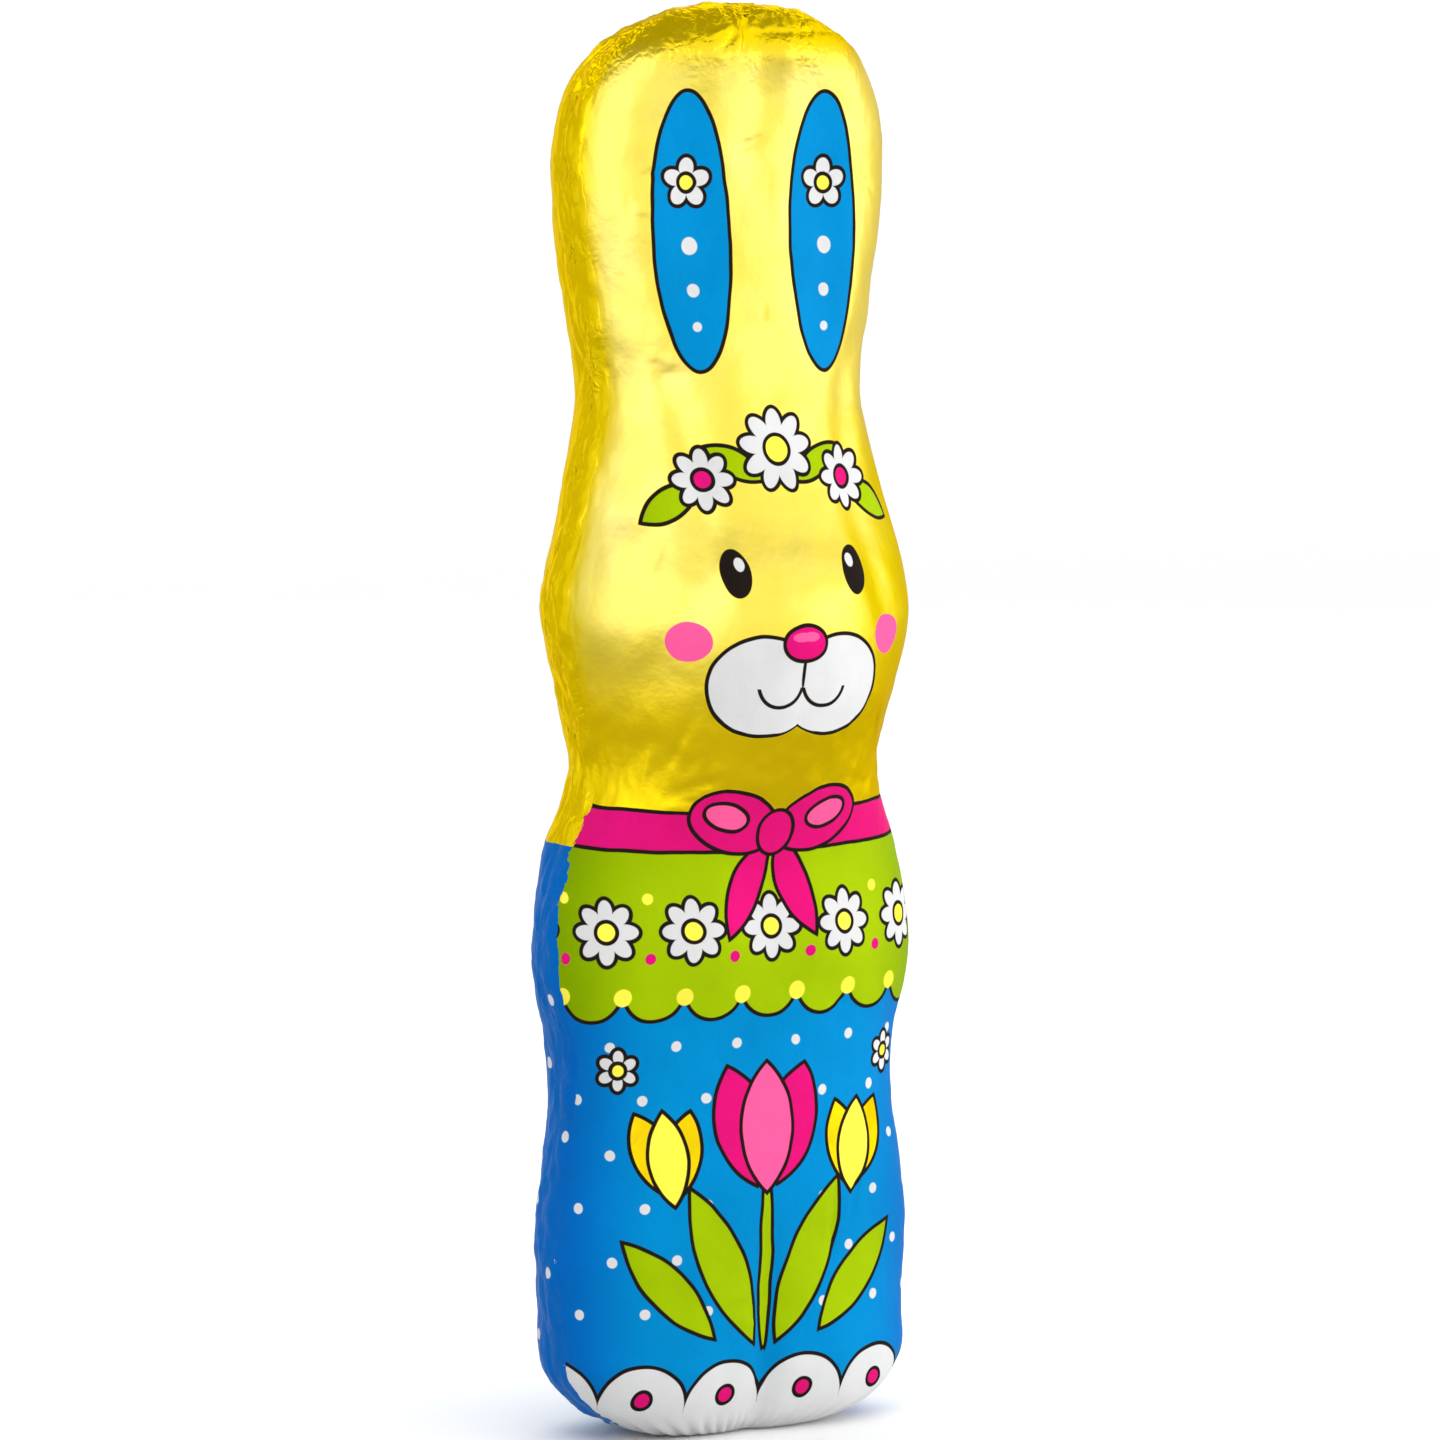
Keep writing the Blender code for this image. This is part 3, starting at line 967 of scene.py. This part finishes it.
def makeCreaseTree():
    inputs = {**geometrySocket, **wrapCreases}
    tree, given, end = newTree("foil creases", "GeometryNodeTree", inputs, geometrySocket)
    position = outputOf(tree, "GeometryNodeInputPosition", 0)
    normal = outputOf(tree, "GeometryNodeInputNormal", 0)
    x, y, z = split(position)
    across, up, gap = split(readNamed(tree, "frontPlace", "FLOAT_VECTOR"))
    behind = split(readNamed(tree, "backPlace", "FLOAT_VECTOR"))[0]
    shifted = vectorCalc("ADD", position, given["seed"])
    # sharp-edged facets in two sizes, deepest along the seams and over the tips of the ears
    stretched = vectorCalc("MULTIPLY", warped(shifted, *wrapFacets["warp"]), wrapFacets["stretch"])
    facets = []
    for share in wrapFacets["shares"]:
        edges = cellEdges(stretched, 1.0 / (given["crease size"] * share))
        facets.append((edges - wrapFacets["level"]) * share)
    seamDepth = given["seam depth"]
    nearTop = atLeast((z - bunnyForm["height"]) / given["top reach"] + 1.0, 0.0)
    nearTop = calc("POWER", nearTop, given["top steepness"])
    strength = atMost(bell(gap / given["seam width"]) * seamDepth + nearTop * seamDepth, seamDepth)
    strength = strength + given["crease depth"] * given["crease share"]
    strength = strength + bell((z - given["neck height"]) / given["neck reach"]) * given["neck depth"]
    strength = strength + calc("DIVIDE", y, given["back reach"], clamp=True) * given["back depth"]
    rise = (facets[0] + facets[1]) * strength * 2.0
    # shallow dents all over
    rise = rise + swing(shifted, given["dent size"], given["dent depth"])
    # single folds, each a short soft ridge or furrow
    folds = [(across, *fold) for fold in wrapFolds] + [(behind, *fold) for fold in backFolds]
    for sideways, middle, height, halfLength, halfWidth, turn, foldRise in folds:
        aside = sideways - middle
        above = up - height
        along = (aside * math.cos(turn) + above * math.sin(turn)) / halfLength
        out = (above * math.cos(turn) - aside * math.sin(turn)) / halfWidth
        fade = calc("EXPONENT", -(squared(squared(along)) + squared(out)))
        rise = rise + fade * (foldRise * millimetre)
    # pleats where the foil is gathered under the base
    wander = noise(shifted, given["pleat wander scale"]) * given["pleat wander"]
    pleat = calc("SINE", calc("ARCTAN2", y, x) * given["pleats"] + wander)
    nearBase = atLeast(1.0 - z / given["pleat reach"], 0.0)
    offFloor = atMost(z / given["floor reach"], 1.0)
    rise = rise * offFloor + pleat * squared(nearBase) * offFloor * given["pleat depth"]
    moved = vectorCalc("SCALE", normal, Scale=rise)
    result = geometryNode("GeometryNodeSetPosition", given["Geometry"], {"Offset": moved})
    result = geometryNode("GeometryNodeRealizeInstances", result)
    sheetPart = readNamed(tree, "sheetPart", "INT")
    for index, material in enumerate(foilMaterials):
        values = {"Selection": calc("COMPARE", sheetPart, float(index), 0.5), "Material": material}
        result = geometryNode("GeometryNodeSetMaterial", result, values)
    feed(end.inputs["Geometry"], result)
    return tree


def addObject(name, data):
    thing = bpy.data.objects.new(name, data)
    bpy.context.scene.collection.objects.link(thing)
    return thing


def makePiece(name, mesh, tree, values):
    # sets the named inputs of the tree, keeps what it makes as a plain mesh and drops the modifier
    piece = addObject(name, mesh)
    modifier = piece.modifiers.new(tree.name, "NODES")
    modifier.node_group = tree
    for socket in tree.interface.items_tree:
        if socket.item_type == "SOCKET" and socket.in_out == "INPUT" and socket.name in values:
            modifier[socket.identifier] = values[socket.name]
    evaluated = piece.evaluated_get(bpy.context.evaluated_depsgraph_get())
    result = bpy.data.meshes.new_from_object(evaluated)
    piece.modifiers.clear()
    piece.data = result
    result.shade_smooth()
    return piece


wrap = makePiece("foilWrap", makeWrapMesh(), makeCreaseTree(), wrapCreases)
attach(wrap, "root")
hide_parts("foil_wrapped_bunny")
print("foil wrap:", len(wrap.data.polygons), "faces")

# the edge of the back sheet, lapped round onto the front along both flanks and over the ears
foilOverlap = {
    "step": 0.00040,
    "sides": 40,  # points round its flat section
    "back reach": 0.0022,
    "front reach": 0.0030,
    "top reach": 0.0018,  # how much further it comes over the tips of the ears
    "top height": 0.010,  # and how far under them this begins
    "edge waves": 0.0011,
    "edge wave size": 0.0065,
    "edge nicks": 0.00045,
    "edge nick size": 0.0016,
    "thickness": 0.00005,
    "sink": 0.00010,
    "crumple depth": 0.00027,
    "crumple size": 0.0015,
    "top calm": 0.7,  # how much less it is crumpled over the tips
    "seed": 3.0,
}
overlapStart = 0.0012  # how far over the floor the lap begins
# its crumple: how it is stretched and pushed about, the size and the share of its tilt, and its level
lapCrumple = {"stretch": (1.0, 1.0, 0.35), "warp": 0.002, "tilt": 0.45, "tiltShare": 2.0, "level": 0.1}
# its section: how round its back is, and how soon it reaches its full height
lapSection = {"roundness": 1.6, "onset": 2.2}


def makeOverlapPath():
    # up the left flank, over the ears and down the right flank
    heights = ringHeights()
    heights = heights[heights > overlapStart]
    left = [bunnySurface(math.pi, z) for z in heights]
    right = [bunnySurface(0.0, z) for z in heights[::-1]]
    points = [tuple(float(value) for value in point) for point in left + right]
    mesh = bpy.data.meshes.new("foilOverlap")
    mesh.from_pydata(points, [(k, k + 1) for k in range(len(points) - 1)], [])
    return mesh


def makeOverlapTree():
    sockets = {"wrap": "NodeSocketObject", "material": "NodeSocketMaterial"}
    inputs = {**geometrySocket, **sockets, **foilOverlap}
    tree, given, end = newTree("foil overlap", "GeometryNodeTree", inputs, geometrySocket)
    position = outputOf(tree, "GeometryNodeInputPosition", 0)
    path = geometryNode("GeometryNodeMeshToCurve", given["Geometry"])
    path = geometryNode("GeometryNodeResampleCurve", path, {"Length": given["step"]}, mode="LENGTH")
    path = storeOn(path, "pathPlace", position, "FLOAT_VECTOR")
    circle = {"Resolution": given["sides"], "Radius": 1.0}
    ring = outputOf(tree, "GeometryNodeCurvePrimitiveCircle", 0, circle)
    x, y, z = split(position)
    ring = storeOn(ring, "lapAcross", x)
    ring = storeOn(ring, "lapSide", y)
    # a small ring stands in for the section until it is laid
    ring = geometryNode("GeometryNodeTransform", ring, {"Scale": (0.0005, 0.0005, 0.0005)})
    lap = geometryNode("GeometryNodeCurveToMesh", path, {"Profile Curve": ring, "Fill Caps": True})
    # lay the flat section across the seam: from behind it to a ragged edge on the front
    pathPlace = readNamed(tree, "pathPlace", "FLOAT_VECTOR")
    height = split(pathPlace)[2]
    shifted = vectorCalc("ADD", pathPlace, given["seed"])
    waves = swing(shifted, given["edge wave size"], given["edge waves"])
    nicks = swing(shifted, given["edge nick size"], given["edge nicks"])
    nearTop = atLeast((height - bunnyForm["height"]) / given["top height"] + 1.0, 0.0)
    front = given["front reach"] + given["top reach"] * nearTop + waves + nicks
    toFront = readNamed(tree, "lapAcross") * 0.5 + 0.5
    place = given["back reach"] - toFront * (given["back reach"] + front)
    laid = vectorCalc("ADD", pathPlace, outputOf(tree, "ShaderNodeCombineXYZ", 0, {"Y": place}))
    result = geometryNode("GeometryNodeSetPosition", lap, {"Position": laid})
    # press it onto the wrap, with its inner side just under the surface
    body = outputOf(tree, "GeometryNodeObjectInfo", "Geometry", {"Object": given["wrap"]})
    near = outputOf(tree, "GeometryNodeProximity", "Position", {0: body}, target_element="FACES")
    outward = nearestOn(body, outputOf(tree, "GeometryNodeInputNormal", 0))
    backPlace = nearestOn(body, readNamed(tree, "backPlace", "FLOAT_VECTOR"))
    result = storeOn(result, "backPlace", backPlace, "FLOAT_VECTOR")
    # crumpled, with the folds running mostly along it
    scale = 1.0 / given["crumple size"]
    stretched = vectorCalc("ADD", position, given["seed"])
    stretched = vectorCalc("MULTIPLY", stretched, lapCrumple["stretch"])
    stretched = warped(stretched, scale, lapCrumple["warp"], 1.0)
    tilt = (noise(stretched, scale * lapCrumple["tilt"], 1.0) - 0.5) * lapCrumple["tiltShare"]
    crumple = atLeast(cellEdges(stretched, scale) + tilt + lapCrumple["level"], 0.0)
    crumple = crumple * given["crumple depth"] * (1.0 - nearTop * given["top calm"])
    # the outer side of the section stands up, from nothing at the edge behind
    plateau = calc("POWER", atLeast(readNamed(tree, "lapSide"), 0.0), lapSection["roundness"])
    onset = atMost(toFront * lapSection["onset"], 1.0)
    lift = (given["thickness"] + given["sink"] + crumple) * plateau * onset - given["sink"]
    pressed = vectorCalc("ADD", near, vectorCalc("SCALE", outward, Scale=lift))
    result = geometryNode("GeometryNodeSetPosition", result, {"Position": pressed})
    result = geometryNode("GeometryNodeRealizeInstances", result)
    result = geometryNode("GeometryNodeSetMaterial", result, {"Material": given["material"]})
    feed(end.inputs["Geometry"], result)
    return tree


def turnOutwards(mesh):
    # turns a closed mesh the right way round if its faces point inwards
    solid = bmesh.new()
    solid.from_mesh(mesh)
    if solid.calc_volume(signed=True) < 0:
        bmesh.ops.reverse_faces(solid, faces=solid.faces)
    solid.to_mesh(mesh)
    solid.free()


lapValues = {**foilOverlap, "wrap": wrap, "material": foilMaterials[-1]}
overlap = makePiece("foilOverlap", makeOverlapPath(), makeOverlapTree(), lapValues)
turnOutwards(overlap.data)
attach(overlap, "root")
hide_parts("foil_wrapped_bunny")
print("foil overlap:", len(overlap.data.polygons), "faces")

# camera, where the photograph was taken from
cameraView = {
    "azimuth": -30.0,
    "elevation": 5.0,
    "distance": 0.702,
    "lens": 166.6,
    "aim": (-0.00017, 0.0001, 0.0750),
}


def towards(azimuth, elevation):
    # a direction out from the bunny: azimuth 0 is straight in front of it, and 90 is on its left
    turn = math.radians(azimuth)
    tilt = math.radians(elevation)
    return Vector((math.sin(turn) * math.cos(tilt), -math.cos(turn) * math.cos(tilt), math.sin(tilt)))


def addFacing(name, data, place, direction):
    # adds a camera or a lamp that looks in a direction
    thing = addObject(name, data)
    thing.location = place
    thing.rotation_euler = direction.to_track_quat("-Z", "Y").to_euler()
    return thing


def addCamera():
    away = towards(cameraView["azimuth"], cameraView["elevation"])
    data = bpy.data.cameras.new("studioCamera")
    data.lens = cameraView["lens"]
    data.clip_start = 0.01
    place = Vector(cameraView["aim"]) + away * cameraView["distance"]
    bpy.context.scene.camera = addFacing("studioCamera", data, place, -away)


addCamera()

# studio: a round pale sweep that looks the same from every side, the light of the room, and soft boxes
studio = {
    "floorColour": (0.86, 0.86, 0.86, 1),
    "floorRoughness": 0.9,
    "floorSpecular": 0.2,
    "middleRadius": 0.02,  # of the one flat face in the middle of the floor
    "floorRadius": 1.3,
    "bendRadius": 0.9,
    "bendSteps": 16,
    "wallHeight": 1.0,
    "turns": 96,  # stretches of wall round the floor
    # strength of the room's own light, which is all that the foil mirrors apart from the soft boxes
    "roomLight": {
        "front": 1.28,
        "back": 0.79,
        "above": 0.44,
        "below": 0.62,
        "frontAzimuth": 24.0,
        "rightAzimuth": 110.0,  # on the right of the picture
        "rightDim": 0.28,
        "frontRise": 0.16,
        # where each part starts and ends, from -1 for straight away from it or down to 1 for towards it or up
        "frontEdges": (-0.80, 0.20),
        "rightEdges": (0.78, 0.95),
        "riseEdges": (0.0, 0.45),
        "aboveEdges": (0.45, 0.75),
        "belowEdges": (-0.06, -0.50),
        "patchScale": 4.5,
        "patchDepth": 0.7,
    },
    # name, azimuth, elevation, distance, width, height, watts, and what it lights: the metal, the inks or all
    "lights": [
        ("frontLeft", -58.0, 12.0, 0.90, 1.36, 1.00, 2.50, "metal"),
        ("farLeft", -112.0, 12.0, 0.90, 0.75, 1.00, 0.50, "metal"),
        ("frontRight", 50.0, 5.0, 0.90, 0.80, 0.50, 0.80, "metal"),
        ("inkRight", 56.0, 5.0, 0.90, 0.80, 0.50, 5.00, "inks"),
        ("inkFront", 0.0, 12.0, 0.90, 1.00, 1.00, 0.70, "inks"),
        ("behind", 180.0, -2.0, 0.90, 0.34, 0.70, 0.35, "metal"),
        ("leftBack", -165.0, 42.0, 0.66, 0.30, 0.30, 0.30, "all"),
        ("rightBack", 140.0, 42.0, 0.66, 0.30, 0.30, 0.30, "all"),
    ],
    "metalTint": (0.90, 1.00, 2.40),  # a cool light on the metal alone, so its highlights turn pale
    "ceiling": {"height": 1.9, "size": 2.6, "watts": 30.0},
    "middle": 0.075,  # the height that the soft boxes aim at
}


def makeSweep():
    # a flat disc whose rim bends up into a round wall
    floor = studio["floorRadius"]
    bend = studio["bendRadius"]
    outline = [(studio["middleRadius"], 0.0), (floor, 0.0)]
    for step in range(1, studio["bendSteps"] + 1):
        angle = math.pi / 2 * step / studio["bendSteps"]
        outline.append((floor + bend * math.sin(angle), bend * (1 - math.cos(angle))))
    outline.append((outline[-1][0], studio["wallHeight"]))
    turns = studio["turns"]
    count = len(outline)
    vertices = []
    faces = [[step * count for step in range(turns)]]
    for step in range(turns):
        angle = 2 * math.pi * step / turns
        vertices += [(radius * math.cos(angle), radius * math.sin(angle), z) for radius, z in outline]
        here = step * count
        after = (step + 1) % turns * count
        faces += [(here + k, here + k + 1, after + k + 1, after + k) for k in range(count - 1)]
    mesh = bpy.data.meshes.new("studioSweep")
    mesh.from_pydata(vertices, [], faces)
    mesh.shade_smooth()
    material = bpy.data.materials.new("studioSweep")
    material.use_nodes = True
    shader = material.node_tree.nodes["Principled BSDF"]
    shader.inputs["Base Color"].default_value = studio["floorColour"]
    shader.inputs["Roughness"].default_value = studio["floorRoughness"]
    shader.inputs["Specular IOR Level"].default_value = studio["floorSpecular"]
    mesh.materials.append(material)
    sweep = addObject("studioSweep", mesh)
    sweep.visible_glossy = False  # the foil mirrors the light of the room instead


def addSoftBox(name, place, aim, width, height, power):
    data = bpy.data.lights.new(name, "AREA")
    data.shape = "RECTANGLE"
    data.size = width
    data.size_y = height
    data.energy = power
    light = addFacing(name, data, place, aim - place)
    light.visible_camera = False
    return light


def addLights():
    aim = Vector((0, 0, studio["middle"]))
    for name, azimuth, elevation, distance, width, height, power, lit in studio["lights"]:
        place = aim + towards(azimuth, elevation) * distance
        light = addSoftBox(name, place, aim, width, height, power)
        light.visible_diffuse = lit != "metal"
        light.visible_glossy = lit != "inks"
        if lit == "metal":
            light.data.color = studio["metalTint"]
    ceiling = studio["ceiling"]
    place = Vector((0, 0, ceiling["height"]))
    size = ceiling["size"]
    light = addSoftBox("ceiling", place, Vector((0, 0, 0)), size, size, ceiling["watts"])
    light.visible_glossy = False  # it lights the sweep and the inks, and the tips of the ears stay dark


def addRoomLight():
    # brightest in front of the bunny, dimmer above, below and behind
    world = bpy.data.worlds.new("studioRoom")
    bpy.context.scene.world = world
    world.use_nodes = True
    tree = world.node_tree
    light = studio["roomLight"]
    direction = outputOf(tree, "ShaderNodeTexCoord", "Generated")
    x, y, z = split(direction)
    front = towards(light["frontAzimuth"], 0.0)
    facing = x * front.x + y * front.y
    level = blendValues(ramp(facing, *light["frontEdges"]), light["back"], light["front"])
    # a dimmer stretch of wall on the right deepens the side that is turned to it
    right = towards(light["rightAzimuth"], 0.0)
    onRight = ramp(x * right.x + y * right.y, *light["rightEdges"], smooth=False)
    level = level * (onRight * -light["rightDim"] + 1.0)
    # the dim part above begins higher over the front
    climb = z - ramp(facing, *light["riseEdges"]) * light["frontRise"]
    strength = blendValues(ramp(climb, *light["aboveEdges"]), level, light["above"])
    strength = blendValues(ramp(z, *light["belowEdges"]), strength, light["below"])
    # the walls aren't even, so the foil mirrors lighter and darker patches
    uneven = (noise(direction, light["patchScale"], 1.0) - 0.5) * light["patchDepth"] + 1.0
    background = tree.nodes["Background"]
    background.inputs["Color"].default_value = (1, 1, 1, 1)
    feed(background.inputs["Strength"], strength * uneven)
    bpy.context.scene.view_settings.view_transform = "Standard"


makeSweep()
addLights()
addRoomLight()
print("studio ready")
